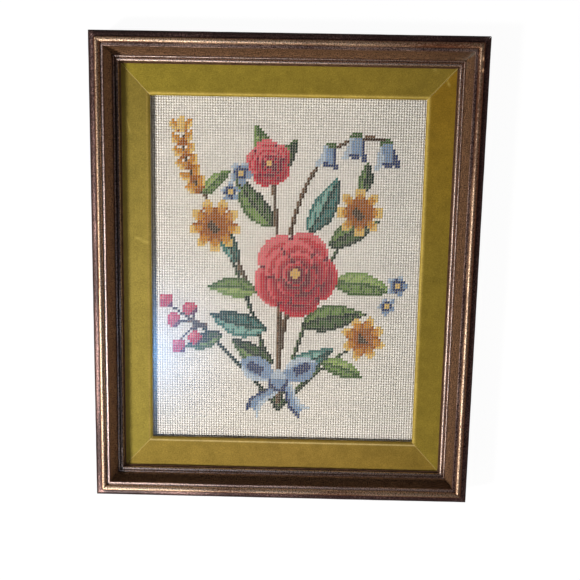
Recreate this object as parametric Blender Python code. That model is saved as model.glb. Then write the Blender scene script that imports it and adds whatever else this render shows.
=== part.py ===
"""Framed needlepoint with a velvet liner and glass, in metres.

The frame lies on its back. Its back is at z = 0, the stitched picture faces +Z, the
picture's top is towards +Y and its left side towards -X. The origin is under the middle.

Sections are lists of (inset, height): inset runs inwards from the frame's outer edge,
and height runs up from the frame's back.
"""
import math

import bmesh
import bpy

MM = 0.001

# Whole frame
FRAME_W = 380.0 * MM
FRAME_H = 460.0 * MM
TOUCH_GAP = 0.3 * MM
BACK_CHAMFER = 0.8 * MM

# Moulding, from its outer side to its lip
SIDE_TOP = 28.8 * MM
ROLL_W = 6.5 * MM
ROLL_H = 6.4 * MM
CROWN_INSET = 10.0 * MM
CROWN_R = 2.8 * MM
CROWN_TOP = 39.0 * MM
BAND_OUTER = 12.95 * MM
BAND_LOW = 35.57 * MM
ARRIS_INSET = 15.3 * MM
ARRIS_R = 0.65 * MM
ARRIS_TOP = 35.9 * MM
COVE_FLOOR = 21.1 * MM
COVE_INNER = 20.9 * MM
FILLET_R = 0.7 * MM
TORUS_INSET = 24.5 * MM
TORUS_R = 1.9 * MM
TORUS_MIDDLE = 20.4 * MM
LIP_INNER = 27.9 * MM
LIP_TOP = 19.3 * MM
LIP_UNDER = 18.5 * MM
REBATE_INSET = 21.5 * MM
QUIRK = 0.4 * MM

# Packet behind the liner, from the back to the front
BACK_RECESS = 2.4 * MM
BOARD_T = 3.0 * MM
CLOTH_T = 2.0 * MM
GLASS_T = 2.0 * MM
BOARD_BEVEL = 0.4 * MM
CLOTH_BEVEL = 0.7 * MM
GLASS_BEVEL = 0.3 * MM
PACKET_CLEARANCE = 0.6 * MM

# Velvet liner: a covered strip that slopes down to a soft nose at the picture
LINER_SHOULDER = 24.0 * MM
LINER_TOP = 17.8 * MM
SIGHT_INSET = 55.0 * MM
SIGHT_SIDES = 54.3 * MM
SIGHT_ENDS = 56.3 * MM
NOSE_W = 3.2 * MM
NOSE_H = 2.7 * MM
NOSE_TOP = 13.7 * MM
LINER_EDGE_R = 1.2 * MM

ROUND_STEPS = 10
SMALL_ROUND_STEPS = 6
SMOOTH_ANGLE = math.radians(38)

PACKET_INSET = REBATE_INSET + PACKET_CLEARANCE
BOARD_BASE = BACK_RECESS
CLOTH_BASE = BOARD_BASE + BOARD_T + TOUCH_GAP
GLASS_BASE = CLOTH_BASE + CLOTH_T + TOUCH_GAP
LINER_BASE = GLASS_BASE + GLASS_T + TOUCH_GAP

# Colours seen on the object, as sRGB hex
WALNUT = "4A3426"
WALNUT_LIT = "6B4B3A"
VELVET_TOP = "80702A"
VELVET_RIGHT = "7A6822"
VELVET_BOTTOM = "8E7434"
VELVET_LEFT = "94823A"
WOOL = "CBC5B6"
GLASS_TINT = "E6ECEA"
HARDBOARD = "6E5238"


def clear_scene():
    """Remove every object that the scene starts with."""
    for thing in list(bpy.data.objects):
        bpy.data.objects.remove(thing, do_unlink=True)


def linear(hex_colour):
    """An sRGB hex colour as linear red, green, blue and alpha."""
    channels = [int(hex_colour[i : i + 2], 16) / 255 for i in (0, 2, 4)]
    return [c / 12.92 if c <= 0.04045 else ((c + 0.055) / 1.055) ** 2.4 for c in channels] + [1.0]


def finish(name, hex_colour, roughness, metallic=0.0, transmission=0.0):
    """A Principled material of one colour."""
    material = bpy.data.materials.new(name)
    material.use_nodes = True
    shader = material.node_tree.nodes["Principled BSDF"]
    shader.inputs["Base Color"].default_value = linear(hex_colour)
    shader.inputs["Roughness"].default_value = roughness
    shader.inputs["Metallic"].default_value = metallic
    shader.inputs["Transmission Weight"].default_value = transmission
    return material


def arc(centre, radii, start, end, steps):
    """Points on an elliptical arc, its angles in degrees from the inward direction."""
    angles = [math.radians(start + (end - start) * i / steps) for i in range(steps + 1)]
    return [(centre[0] + radii[0] * math.cos(a), centre[1] + radii[1] * math.sin(a)) for a in angles]


def moulding_section():
    """The wooden moulding: outer roll, crown bead, band, deep cove, fillet, torus and rebate."""
    crown_middle = CROWN_TOP - CROWN_R
    arris_middle = ARRIS_TOP - ARRIS_R
    cove_start = ARRIS_INSET + ARRIS_R
    fillet_inset = COVE_INNER + FILLET_R
    return [
        (BACK_CHAMFER, 0),
        (0, BACK_CHAMFER),
        *arc((ROLL_W, SIDE_TOP), (ROLL_W, ROLL_H), 180, 84, ROUND_STEPS),
        *arc((CROWN_INSET, crown_middle), (CROWN_R, CROWN_R), 204, -24, ROUND_STEPS),
        (BAND_OUTER - QUIRK, BAND_LOW - 2.5 * QUIRK),
        (BAND_OUTER, BAND_LOW),
        *arc((ARRIS_INSET, arris_middle), (ARRIS_R, ARRIS_R), 98, 0, SMALL_ROUND_STEPS),
        *arc(
            (COVE_INNER, arris_middle),
            (COVE_INNER - cove_start, arris_middle - COVE_FLOOR),
            184,
            264,
            ROUND_STEPS,
        ),
        *arc((fillet_inset, COVE_FLOOR), (FILLET_R, FILLET_R), 165, 15, SMALL_ROUND_STEPS),
        (fillet_inset + FILLET_R + QUIRK / 2, COVE_FLOOR - QUIRK),
        *arc((TORUS_INSET, TORUS_MIDDLE), (TORUS_R, TORUS_R), 155, -20, ROUND_STEPS),
        (TORUS_INSET + TORUS_R, LIP_TOP),
        (LIP_INNER - QUIRK, LIP_TOP - QUIRK / 2),
        (LIP_INNER, LIP_UNDER + QUIRK / 2),
        (LIP_INNER - QUIRK / 2, LIP_UNDER),
        (REBATE_INSET, LIP_UNDER),
        (REBATE_INSET, BACK_CHAMFER),
        (REBATE_INSET - BACK_CHAMFER, 0),
    ]


def liner_section(sight):
    """The covered strip: square back, rounded outer edge, sloping face and a soft nose.

    It is drawn for SIGHT_INSET and then stretched sideways, so that it ends at its own sight
    edge and its mitre with a strip of another width is still one plane.
    """
    nose_start = SIGHT_INSET - NOSE_W
    drawn = [
        (PACKET_INSET, LINER_BASE),
        *arc(
            (PACKET_INSET + LINER_EDGE_R, LINER_TOP - LINER_EDGE_R),
            (LINER_EDGE_R, LINER_EDGE_R),
            180,
            90,
            SMALL_ROUND_STEPS,
        ),
        (LINER_SHOULDER, LINER_TOP),
        *arc((nose_start, NOSE_TOP - NOSE_H), (NOSE_W, NOSE_H), 82, 0, ROUND_STEPS),
        (SIGHT_INSET, LINER_BASE + QUIRK),
        (SIGHT_INSET - QUIRK, LINER_BASE),
    ]
    stretch = (sight - PACKET_INSET) / (SIGHT_INSET - PACKET_INSET)
    return [(PACKET_INSET + (inset - PACKET_INSET) * stretch, height) for inset, height in drawn]


def add_object(name, mesh, material, parent, location=(0, 0, 0), turn=0.0):
    """Link a mesh into the scene as a named object with its own material."""
    mesh.materials.append(material)
    piece = bpy.data.objects.new(name, mesh)
    piece.location = location
    piece.rotation_euler = (0, 0, turn)
    piece.parent = parent
    bpy.context.scene.collection.objects.link(piece)
    return piece


def finished_mesh(name, bm, smooth):
    """Turn a bmesh into a mesh that faces outwards, shaded smooth over its round stretches."""
    bmesh.ops.recalc_face_normals(bm, faces=bm.faces)
    mesh = bpy.data.meshes.new(name)
    bm.to_mesh(mesh)
    bm.free()
    if smooth:
        mesh.shade_smooth()
        mesh.set_sharp_from_angle(angle=SMOOTH_ANGLE)
    return mesh


def mitred_bar(name, section, met, run):
    """A bar along X with a section in YZ, its ends cut to meet the bars beside it.

    Each corner of the section ends short of the run's end by the inset that the same corner
    has in the section it meets, less half the gap that the mitre leaves, so four bars close
    up into a rectangle.
    """
    half_run = run / 2 - TOUCH_GAP / math.sqrt(2)
    corners = [(half_run - other, inset, height) for (inset, height), (other, _) in zip(section, met)]
    bm = bmesh.new()
    near = [bm.verts.new((-reach, inset, height)) for reach, inset, height in corners]
    far = [bm.verts.new(corner) for corner in corners]
    bm.faces.new(near)
    bm.faces.new(reversed(far))
    for i in range(len(corners)):
        bm.faces.new((near[i - 1], far[i - 1], far[i], near[i]))
    return finished_mesh(name, bm, smooth=True)


def slab_mesh(name, inset, base, thickness, bevel):
    """A flat rectangle inside the rebate, with its edges a little rounded."""
    bm = bmesh.new()
    bmesh.ops.create_cube(bm, size=1)
    bmesh.ops.scale(bm, vec=(FRAME_W - 2 * inset, FRAME_H - 2 * inset, thickness), verts=bm.verts)
    bmesh.ops.translate(bm, vec=(0, 0, base + thickness / 2), verts=bm.verts)
    bmesh.ops.bevel(bm, geom=bm.edges, offset=bevel, segments=2, profile=0.5, affect="EDGES")
    return finished_mesh(name, bm, smooth=False)


def four_sides():
    """The name, length, place and turn of each side, anticlockwise from the bottom."""
    return [
        ("bottom", FRAME_W, (0, -FRAME_H / 2, 0), 0.0),
        ("right", FRAME_H, (FRAME_W / 2, 0, 0), math.pi / 2),
        ("top", FRAME_W, (0, FRAME_H / 2, 0), math.pi),
        ("left", FRAME_H, (-FRAME_W / 2, 0, 0), -math.pi / 2),
    ]


def build_rails(parent):
    """Four mitred lengths of the wooden moulding."""
    colours = {"bottom": WALNUT_LIT, "right": WALNUT, "top": WALNUT, "left": WALNUT_LIT}
    for side, run, place, turn in four_sides():
        name = f"rail_{side}"
        wood = finish(f"{name}_walnut", colours[side], 0.38, metallic=0.1)
        section = moulding_section()
        add_object(name, mitred_bar(name, section, section, run), wood, parent, place, turn)


def build_liner(parent):
    """Four mitred lengths of the velvet-covered strip, tucked under the moulding's lip."""
    colours = {
        "bottom": VELVET_BOTTOM,
        "right": VELVET_RIGHT,
        "top": VELVET_TOP,
        "left": VELVET_LEFT,
    }
    ends, sides = liner_section(SIGHT_ENDS), liner_section(SIGHT_SIDES)
    for side, run, place, turn in four_sides():
        name = f"liner_{side}"
        velvet = finish(f"{name}_velvet", colours[side], 0.9)
        section, met = (ends, sides) if side in ("bottom", "top") else (sides, ends)
        add_object(name, mitred_bar(name, section, met, run), velvet, parent, place, turn)


def build_packet(parent):
    """Glass, stitched cloth and backing board, each clear of the next."""
    glass = finish("glass_clear", GLASS_TINT, 0.03, transmission=0.9)
    wool = finish("needlepoint_wool", WOOL, 0.9)
    board = finish("backing_board_brown", HARDBOARD, 0.7)
    layers = [
        ("glass", GLASS_BASE, GLASS_T, GLASS_BEVEL, glass),
        ("needlepoint", CLOTH_BASE, CLOTH_T, CLOTH_BEVEL, wool),
        ("backing_board", BOARD_BASE, BOARD_T, BOARD_BEVEL, board),
    ]
    for name, base, thickness, bevel, material in layers:
        mesh = slab_mesh(name, PACKET_INSET, base, thickness, bevel)
        add_object(name, mesh, material, parent)


def main():
    """Build the whole part under one empty at the origin."""
    clear_scene()
    whole = bpy.data.objects.new("framed_needlepoint", None)
    bpy.context.scene.collection.objects.link(whole)
    build_rails(whole)
    build_liner(whole)
    build_packet(whole)


main()
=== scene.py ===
"""Looks of the framed needlepoint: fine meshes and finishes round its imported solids.

The frame lies on its back on the floor. +Z is out of the picture's face, +Y is towards the
picture's top and -X is its left side. Lengths are in metres, written as a number times MM.
An inset runs inwards from the frame's outer edge, and a height runs up from its back.
"""
from __future__ import annotations

import logging
import math
from abc import ABC, abstractmethod
from collections.abc import Callable
from dataclasses import dataclass, field
from enum import Enum
from functools import partial
from typing import ClassVar

import bpy
import numpy as np
from mathutils import Matrix, Vector


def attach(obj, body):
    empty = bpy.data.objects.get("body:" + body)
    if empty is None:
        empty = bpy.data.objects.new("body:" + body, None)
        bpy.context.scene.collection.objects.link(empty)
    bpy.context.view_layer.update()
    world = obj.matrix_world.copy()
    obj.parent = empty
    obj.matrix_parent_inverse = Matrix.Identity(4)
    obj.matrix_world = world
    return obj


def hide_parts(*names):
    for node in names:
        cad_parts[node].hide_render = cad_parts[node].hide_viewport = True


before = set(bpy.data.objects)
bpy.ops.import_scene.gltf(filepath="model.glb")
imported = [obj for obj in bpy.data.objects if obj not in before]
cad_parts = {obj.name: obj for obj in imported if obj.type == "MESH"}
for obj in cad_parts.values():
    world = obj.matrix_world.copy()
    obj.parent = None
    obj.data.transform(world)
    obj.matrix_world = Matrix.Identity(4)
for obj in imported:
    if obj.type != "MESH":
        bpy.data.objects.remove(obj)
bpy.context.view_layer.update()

MM = 0.001
BODY = "root"
LOG = logging.getLogger("framed_needlepoint")

Array = np.ndarray
Pair = tuple[float, float]
Node = bpy.types.Node
# add_node() with its tree already given
Adder = Callable[..., Node]
# The lowest and highest pitch of a wave in ripple()
RIPPLE_PITCH = (0.55, 1.7)


def linear(hex_colour: str) -> Array:
    """Turn an sRGB hex colour into linear light.

    Args:
        hex_colour: Six hex digits.

    Returns:
        Red, green, blue and an alpha of 1. Each channel c is c / 12.92 at or below 0.04045,
        and ((c + 0.055) / 1.055) to the power 2.4 above it.
    """
    c = np.array([int(hex_colour[i : i + 2], 16) for i in (0, 2, 4)]) / 255
    light = np.where(c <= 0.04045, c / 12.92, ((c + 0.055) / 1.055) ** 2.4)
    return np.append(light, 1.0)


def ripple(u: Array, v: Array, seed: int, waves: int = 9) -> Array:
    """Give a smooth uneven value over two coordinates.

    The value is a sum of sine waves, each with a seeded direction, pitch and phase.

    Args:
        u: First coordinate, in radians of an average wave.
        v: Second coordinate, in the same unit.
        seed: Picks the waves.
        waves: How many are summed.

    Returns:
        Values mostly between -1 and 1, in the shape of u and v together.
    """
    rng = np.random.default_rng(seed)
    turn, phase = rng.uniform(0, 2 * np.pi, (2, waves))
    pitch = rng.uniform(*RIPPLE_PITCH, waves)
    u, v = np.broadcast_arrays(u, v)
    along = u[..., None] * np.cos(turn) + v[..., None] * np.sin(turn)
    return np.sin(along * pitch + phase).sum(-1) / np.sqrt(2 * waves)


@dataclass
class Surface:
    """A mesh as arrays, before it becomes an object.

    Attributes:
        points: One row of x, y, z for each vertex.
        faces: Groups of faces, each an array with one row of vertex numbers a face.
        uv: For each group of faces, a u and v for each of its corners, or None.
        values: Named numbers, or colours of four numbers, for each vertex.
    """

    points: Array
    faces: list[Array]
    uv: list[Array] | None = None
    values: dict[str, Array] = field(default_factory=dict)

    def mesh(self, name: str) -> bpy.types.Mesh:
        """Write the arrays into a new Blender mesh.

        Args:
            name: The mesh's name.

        Returns:
            The mesh, with its UV map called run and one attribute for each named value.
        """
        corners = np.concatenate([group.ravel() for group in self.faces])
        sizes = np.concatenate([np.full(len(group), group.shape[1]) for group in self.faces])
        mesh = bpy.data.meshes.new(name)
        mesh.vertices.add(len(self.points))
        mesh.vertices.foreach_set("co", self.points.astype(np.float32).ravel())
        mesh.loops.add(len(corners))
        mesh.loops.foreach_set("vertex_index", corners.astype(np.int32))
        mesh.polygons.add(len(sizes))
        mesh.polygons.foreach_set("loop_start", (np.cumsum(sizes) - sizes).astype(np.int32))
        mesh.update(calc_edges=True)
        if self.uv is not None:
            flat = np.concatenate([group.reshape(-1, 2) for group in self.uv])
            mesh.uv_layers.new(name="run").uv.foreach_set("vector", flat.astype(np.float32).ravel())
        for key, value in self.values.items():
            kind, slot = ("FLOAT", "value") if value.ndim == 1 else ("FLOAT_COLOR", "color")
            layer = mesh.attributes.new(key, kind, "POINT")
            layer.data.foreach_set(slot, value.astype(np.float32).ravel())
        mesh.validate()
        return mesh


def put(name: str, data: bpy.types.ID) -> bpy.types.Object:
    """Put a mesh, light or camera into the scene.

    Args:
        name: The new object's name.
        data: What it shows.

    Returns:
        The object, at the origin.
    """
    thing = bpy.data.objects.new(name, data)
    bpy.context.scene.collection.objects.link(thing)
    return thing


def add_piece(
    name: str,
    surface: Surface,
    material: bpy.types.Material,
    replaced: tuple[str, ...] = (),
    sharp: float | None = None,
) -> bpy.types.Object:
    """Make a surface into a piece of the object and report it.

    Args:
        name: The piece's name.
        surface: Its arrays, already in place.
        material: Its finish.
        replaced: The CAD nodes that it stands for.
        sharp: The angle in degrees from which an edge stays sharp, or None for none.

    Returns:
        The new object, at the origin.
    """
    mesh = surface.mesh(name)
    mesh.shade_smooth()
    if sharp is not None:
        mesh.set_sharp_from_angle(angle=math.radians(sharp))
    mesh.materials.append(material)
    piece = put(name, mesh)
    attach(piece, BODY)
    if replaced:
        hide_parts(*replaced)
    triangles = sum(len(group) * (group.shape[1] - 2) for group in surface.faces)
    LOG.info("%s: %d triangles", name, triangles)
    return piece


def add_node(
    tree: bpy.types.NodeTree, kind: str, inputs: dict[str | int, object] | None = None, **settings: object
) -> Node:
    """Add a shader node to a tree, with its settings, values and links.

    Args:
        tree: The node tree.
        kind: The node's Blender type, less the word ShaderNode that it starts with.
        inputs: What goes into each input, by name or number: a value, a node's output, or a
            node, which stands for the first of its outputs that is in use.
        settings: The node's own properties.

    Returns:
        The node.
    """
    node = tree.nodes.new(f"ShaderNode{kind}")
    for key, value in settings.items():
        setattr(node, key, value)
    for key, value in (inputs or {}).items():
        if isinstance(value, Node):
            value = next(socket for socket in value.outputs if socket.enabled)
        if isinstance(value, bpy.types.NodeSocket):
            tree.links.new(value, node.inputs[key])
        else:
            node.inputs[key].default_value = value
    return node


class Finish(ABC):
    """A procedural material. Each kind has its own name and its own nodes."""

    name: ClassVar[str]

    @abstractmethod
    def shade(self, add: Adder) -> Node:
        """Add the finish's nodes by calling add, and return its shader."""

    def material(self) -> bpy.types.Material:
        """Build the finish.

        Returns:
            The material, with nothing in it but the finish's nodes and its output.
        """
        material = bpy.data.materials.new(self.name)
        material.use_nodes = True
        tree = material.node_tree
        tree.nodes.clear()
        add = partial(add_node, tree)
        add("OutputMaterial", {"Surface": self.shade(add)})
        return material


class Side(Enum):
    """A side of the frame. Its value is how far it is turned from the bottom, in quarters."""

    BOTTOM = 0
    RIGHT = 1
    TOP = 2
    LEFT = 3

    @property
    def word(self) -> str:
        """The side's name in the CAD nodes."""
        return self.name.lower()


@dataclass(frozen=True)
class Plan:
    """The frame's outside and opening, and how a length of moulding is put on each side."""

    width: float = 380.0 * MM
    height: float = 460.0 * MM
    # The opening's insets: on the left and right, and at the top and bottom
    sight_sides: float = 54.3 * MM
    sight_ends: float = 56.3 * MM
    gap: float = 0.3 * MM
    end_steps: tuple[float, ...] = (0.0, 0.3, 0.6, 0.9, 1.3, 2.0, 3.2, 5.2, 8.0)
    middle_steps: int = 160

    def half_run(self, side: Side) -> float:
        """Half of a side's length along the outer edge, less its share of the mitre gap."""
        run = self.width if side.value % 2 == 0 else self.height
        return run / 2 - self.gap / math.sqrt(2)

    def place(self, side: Side, local: Array) -> Array:
        """Turn points from a side's own axes to the frame's.

        Args:
            side: The side.
            local: Points as distance along the side, inset and height.

        Returns:
            The same points as x, y and z.
        """
        turn = side.value * math.pi / 2
        reach = (self.height if side.value % 2 == 0 else self.width) / 2
        x, y = local[..., 0], local[..., 1] - reach
        across = x * math.cos(turn) - y * math.sin(turn)
        up = x * math.sin(turn) + y * math.cos(turn)
        return np.stack([across, up, local[..., 2]], -1)

    def stations(self, side: Side, met: Array) -> Array:
        """Work out how far along a side each cross-section stands.

        Close to each end the sections follow the mitre, at the set distances from it. Between
        them they are spaced evenly, each point of the section over its own length.

        Args:
            side: The side.
            met: The inset of each point of the section on the sides that it meets.

        Returns:
            Distances along the side, one row a section and one column a point.
        """
        reach = self.half_run(side) - met
        ends = np.array(self.end_steps)[:, None] * MM
        start = ends - reach
        free = reach - ends[-1]
        share = np.linspace(-1, 1, self.middle_steps + 1)[1:-1, None]
        return np.concatenate([start, share * free, -start[::-1]])

    def bar(self, side: Side, outline: Array, met: Array, relief: Array) -> Surface:
        """Carry a closed outline along a side, its ends cut to meet the sides next to it.

        Point (i, j) is the j-th point of the outline at the i-th station. The relief moves it
        along the outline's outward normal, which is the outline's tangent turned a quarter.

        Args:
            side: The side.
            outline: Points as inset and height, up the outer side first.
            met: The same points' insets on the sides that it meets.
            relief: How far each point stands out.

        Returns:
            A closed surface whose UV is the distance along the side and round the outline.
        """
        count = len(outline)
        along = self.stations(side, met)
        rows = len(along)
        tangent = np.roll(outline, -1, 0) - np.roll(outline, 1, 0)
        tangent /= np.linalg.norm(tangent, axis=1, keepdims=True)
        normal = np.stack([-tangent[:, 1], tangent[:, 0]], 1)
        section = outline + relief[..., None] * normal
        points = self.place(side, np.concatenate([along[..., None], section], -1))
        number = np.arange(rows * count).reshape(rows, count)
        ring = np.concatenate([number, number[:, :1]], 1)
        quads = self.corners(ring)
        steps = np.linalg.norm(np.diff(np.vstack([outline, outline[:1]]), axis=0), axis=1)
        around = np.concatenate([[0.0], np.cumsum(steps)])
        along_ring = np.concatenate([along, along[:, :1]], 1)
        around_ring = np.broadcast_to(around, along_ring.shape)
        quad_uv = np.stack([self.corners(along_ring), self.corners(around_ring)], -1)
        caps = np.stack([number[0], number[-1][::-1]])
        cap_uv = np.stack([outline, outline[::-1]])
        return Surface(points.reshape(-1, 3), [quads, caps], [quad_uv, cap_uv])

    @staticmethod
    def corners(grid: Array) -> Array:
        """The four corners of each cell of a grid, anticlockwise seen from outside."""
        cells = [grid[:-1, :-1], grid[1:, :-1], grid[1:, 1:], grid[:-1, 1:]]
        return np.stack(cells, -1).reshape(-1, 4)


class Zone(Enum):
    """A stretch of the moulding's section, from its outer side to its lip and back."""

    SIDE = "side"
    ROLL = "roll"
    FLANK = "flank"
    CROWN = "crown"
    QUIRK = "quirk"
    BAND = "band"
    ARRIS = "arris"
    COVE = "cove"
    FILLET = "fillet"
    TORUS = "torus"
    LIP = "lip"
    BACK = "back"


@dataclass(frozen=True)
class ZoneLook:
    """How a stretch of the moulding is finished.

    Attributes:
        stain: Its colour under the lacquer, as sRGB hex.
        powder: The colour of the metal powder on it, as sRGB hex.
        rub_and_painted_light: How much of the powder is left on it, from 0 to 1.
        stipple: How much dark glaze was stippled over it, from 0 to 1.
        gloss: How much of the lacquer was rubbed up on it, from 0 to 1.
    """

    stain: str
    powder: str
    rub_and_painted_light: float
    stipple: float
    gloss: float


ZONE_LOOKS = {
    Zone.SIDE: ZoneLook("120C0D", "C0A09C", 0.0, 0.2, 0.3),
    Zone.ROLL: ZoneLook("2A1A18", "C49A90", 0.32, 0.3, 1.0),
    Zone.FLANK: ZoneLook("5A3220", "C88456", 0.30, 0.3, 0.5),
    Zone.CROWN: ZoneLook("4E2C1C", "FAD2AC", 0.64, 0.3, 1.0),
    Zone.QUIRK: ZoneLook("0C0809", "C0A09C", 0.0, 0.0, 0.0),
    Zone.BAND: ZoneLook("302124", "F0D4C8", 0.68, 0.4, 1.0),
    Zone.ARRIS: ZoneLook("38201A", "F0C8B2", 0.48, 0.3, 0.8),
    Zone.COVE: ZoneLook("6E513A", "C0A09C", 0.0, 1.0, 0.08),
    Zone.FILLET: ZoneLook("3C2418", "F0D2C0", 0.95, 0.3, 1.0),
    Zone.TORUS: ZoneLook("2C1C1A", "EACAB6", 0.70, 0.3, 1.0),
    Zone.LIP: ZoneLook("4A3628", "C0A09C", 0.0, 0.0, 0.0),
    Zone.BACK: ZoneLook("5B432E", "C0A09C", 0.0, 0.3, 0.1),
}


@dataclass
class Outline:
    """A closed section, drawn point by point, each point in its own zone."""

    points: list[Pair] = field(default_factory=list)
    zones: list[Zone] = field(default_factory=list)

    def line(self, zone: Zone, *points: Pair) -> None:
        """Add corners.

        Args:
            zone: The zone that they belong to.
            points: Each one's inset and height.
        """
        self.points.extend(points)
        self.zones.extend([zone] * len(points))

    def arc(self, zone: Zone, centre: Pair, radii: float | Pair, turn: Pair, steps: int) -> None:
        """Add an elliptical arc.

        A point at angle a is the centre plus the radii times the cosine and sine of a.

        Args:
            zone: The zone that it belongs to.
            centre: Its middle's inset and height.
            radii: Its half width and half height, or one radius for both.
            turn: Its first and last angle in degrees, from the inward direction.
            steps: How many straight steps it has.
        """
        angle = np.radians(np.linspace(*turn, steps + 1))
        wide, high = np.broadcast_to(radii, 2)
        inset = centre[0] + wide * np.cos(angle)
        height = centre[1] + high * np.sin(angle)
        self.line(zone, *zip(inset.tolist(), height.tolist()))

    def within(self, *zones: Zone) -> Array:
        """Give 1 for each point that is in one of the zones, and 0 for the others."""
        return np.array([zone in zones for zone in self.zones], float)


@dataclass(frozen=True)
class AntiquedWalnut(Finish):
    """Walnut-stained hardwood, moulded, glazed and rubbed with bronze powder, then lacquered.

    The stain is nearly black in the hollows. Pale gold and pinkish bronze show where a pad
    rubbed the raised beads, broken into fine specks along the grain, under a satin lacquer.
    """

    name = "walnut_bronze_rubbed"
    glaze: str = "0E0A0B"
    putty: str = "8F8A80"
    bare: str = "E6BC94"
    # Each pattern's pitch along and across the rail in mm, its detail and its roughness.
    # Grain is streaks, drawn 0.9 mm wide, because finer ones are lost in the render
    grain: tuple[float, ...] = (8.0, 0.9, 4.0, 0.6)
    # Flecks are where the pad skipped, a little longer than wide
    fleck: tuple[float, ...] = (2.5, 1.5, 5.0, 0.72)
    # Stipple is dots of dark glaze
    stipple: tuple[float, ...] = (1.3, 1.3, 3.0, 0.65)

    def shade(self, add: Adder) -> Node:
        """Lay every pattern on the rail's own UV, which is in metres.

        Args:
            add: Adds a node to the material.

        Returns:
            The shader: lacquered wood, and bare powder where the pad rubbed it on.
        """
        uv = add("UVMap", uv_map="run")
        noises = []
        for along, across, detail, roughness in (self.grain, self.fleck, self.stipple):
            pitch = (1 / (along * MM), 1 / (across * MM), 1)
            space = add("Mapping", {"Vector": uv, "Scale": pitch})
            look = {"Vector": space, "Scale": 1.0, "Detail": detail, "Roughness": roughness}
            noises.append(add("TexNoise", look, noise_dimensions="2D"))
        grain, fleck, stipple = noises
        stain, metal = (add("Attribute", attribute_name=key) for key in ("stain", "powder"))
        rub_and_painted_light, dotted, putty, bare, gloss = (
            add("Attribute", attribute_name=key).outputs["Fac"]
            for key in ("rub_and_painted_light", "stipple", "putty", "bare", "gloss")
        )
        dots = add("MapRange", {0: stipple, 1: 0.44, 2: 0.60, 3: 0.0, 4: 0.8})
        dotted = add("Math", {0: dots, 1: dotted}, operation="MULTIPLY")
        glazed = add("Mix", {0: dotted, 6: stain, 7: linear(self.glaze)}, data_type="RGBA")
        depth = add("MapRange", {0: grain, 1: 0.3, 2: 0.7, 3: 0.45, 4: 1.5})
        wood = add("Mix", {0: 1.0, 6: glazed, 7: depth}, data_type="RGBA", blend_type="MULTIPLY")
        wood = add("Mix", {0: putty, 6: wood, 7: linear(self.putty)}, data_type="RGBA")
        wood = add("Mix", {0: bare, 6: wood, 7: linear(self.bare)}, data_type="RGBA")
        # The pad leaves powder where the rub, with its strips of painted light, and the fleck together pass
        # a limit
        lifted = add("Math", {0: fleck, 1: rub_and_painted_light}, operation="ADD")
        streaked = add("Math", {0: grain, 1: 0.35, 2: lifted}, operation="MULTIPLY_ADD")
        powder = add("MapRange", {0: streaked, 1: 0.99, 2: 1.36, 3: 0.0, 4: 1.0})
        polish = add("MapRange", {0: fleck, 1: 0.3, 2: 0.7, 3: 0.44, 4: 0.56})
        rough = add("Math", {0: gloss, 1: -0.10, 2: polish}, operation="MULTIPLY_ADD")
        # Specks of glaze left in the pores break up the powder and the gleam alike
        pores = add("MapRange", {0: stipple, 1: 0.46, 2: 0.62, 3: 1.0, 4: 0.2})
        coat = add("Math", {0: pores, 1: gloss}, operation="MULTIPLY")
        half_coat = add("Math", {0: coat, 1: 0.5}, operation="MULTIPLY")
        speckled = add("Math", {0: powder, 1: pores}, operation="MULTIPLY")
        relief = add("Math", {0: stipple, 1: 0.6, 2: grain}, operation="MULTIPLY_ADD")
        bump = add("Bump", {"Height": relief, "Strength": 1.0, "Distance": 0.05 * MM})
        surface = {"Roughness": rough, "Normal": bump}
        gleam = {"Specular IOR Level": coat, "Specular Tint": metal}
        lacquer = {"Coat Weight": half_coat, "Coat Roughness": 0.3, "Coat Normal": bump}
        lacquered = add("BsdfPrincipled", {"Base Color": wood, **surface, **gleam, **lacquer})
        bronze = add("BsdfPrincipled", {"Base Color": metal, "Metallic": 1.0, **surface})
        return add("MixShader", {0: speckled, 1: lacquered, 2: bronze})


@dataclass(frozen=True)
class Mark:
    """A knock, a chip, a worn spot or a strip of painted light on a rail. Its lengths are in mm.

    Attributes:
        along: Its distance along the rail, in the rail's own direction.
        inset: Its distance from the frame's outer edge.
        length: Its half length along the rail.
        breadth: Its half breadth across the rail.
        depth: How deep the dent is.
        rub_and_painted_light: How much more bright metal it shows, or less, below 0. On a strip
            with no dent it is painted highlight, and below 0 painted shade.
        bare: How much bare wood it shows.
    """

    along: float
    inset: float
    length: float
    breadth: float
    depth: float
    rub_and_painted_light: float
    bare: float = 0.0
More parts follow.
